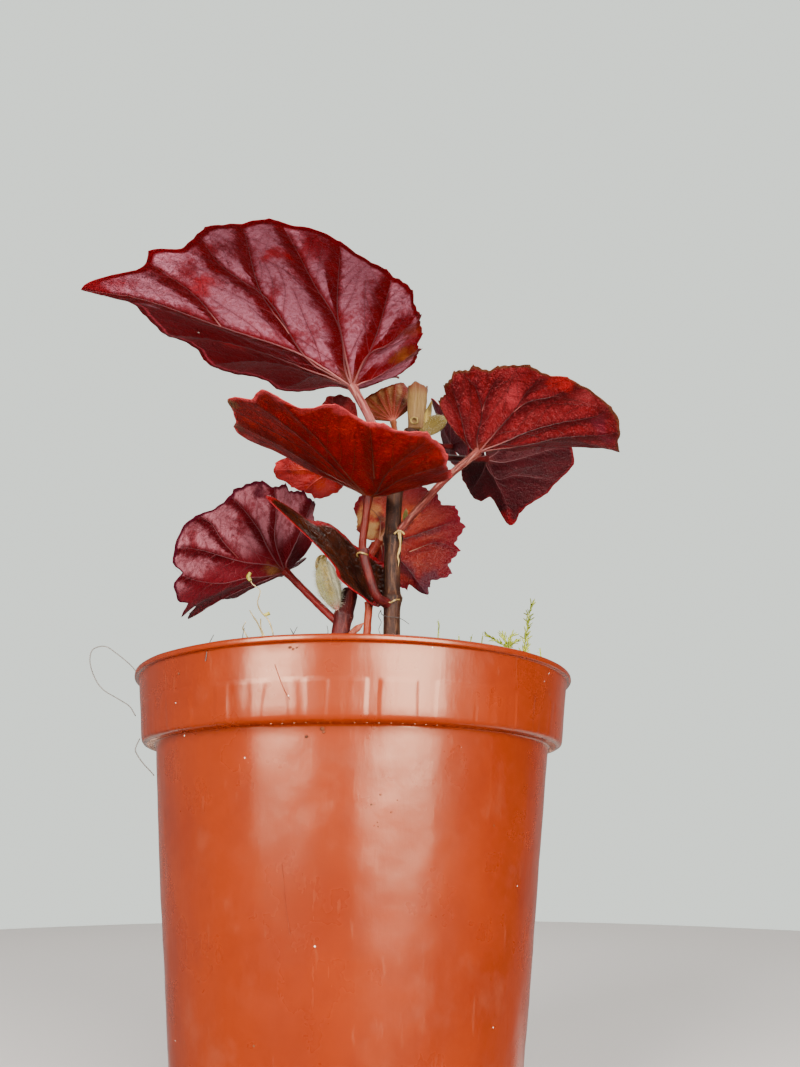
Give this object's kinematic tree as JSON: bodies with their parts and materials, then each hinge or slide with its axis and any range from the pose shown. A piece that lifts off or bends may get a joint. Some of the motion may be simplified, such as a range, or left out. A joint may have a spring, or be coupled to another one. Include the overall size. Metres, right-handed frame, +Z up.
{
  "type": "potted begonia",
  "caption": "Young cane begonia with toothed, red-backed, funnel-shaped leaves growing in a small round plastic nursery pot.",
  "frame": {"origin": "centre of the pot's underside, on the surface that the pot stands on", "axes": "+Z up along the pot's axis; +Y away from the side that is seen first; +X to the right seen from there"},
  "size_m": [0.1182, 0.0968, 0.1693],
  "materials": {
    "pot_plastic": "semi-gloss terracotta-coloured plastic",
    "potting_soil": "coarse dark potting mix",
    "stem_bark": "purplish brown, dull, with pale streaks",
    "leaf_crimson": "velvety, dark crimson underneath and dark olive above",
    "leaf_scarlet": "velvety, bright red underneath and dark olive above",
    "leaf_maroon": "velvety, dark maroon underneath and dark olive above",
    "leaf_olive": "velvety, dark olive brown with a crimson edge",
    "leaf_straw": "young, pleated, tan with pink veins",
    "dry_scale": "dry, papery, beige",
    "green_scale": "soft, pale green, hairy"
  },
  "bodies": {
    "root": {"pot": "pot_plastic", "soil": "potting_soil", "stem_main": "stem_bark", "stem_second": "stem_bark", "spur_front": "stem_bark", "leaf_crown": "leaf_crimson", "leaf_right": "leaf_scarlet", "leaf_front": "leaf_scarlet", "leaf_left": "leaf_maroon", "leaf_back_left": "leaf_scarlet", "leaf_low": "leaf_olive", "leaf_back": "leaf_scarlet", "leaf_back_right": "leaf_maroon", "leaf_young": "leaf_straw", "leaf_small": "leaf_maroon", "stipule_sheath": "dry_scale", "stipule_right": "green_scale", "bud_shoot": "green_scale", "stipule_papery": "dry_scale", "stipule_green": "green_scale"}
  },
  "joints": []
}
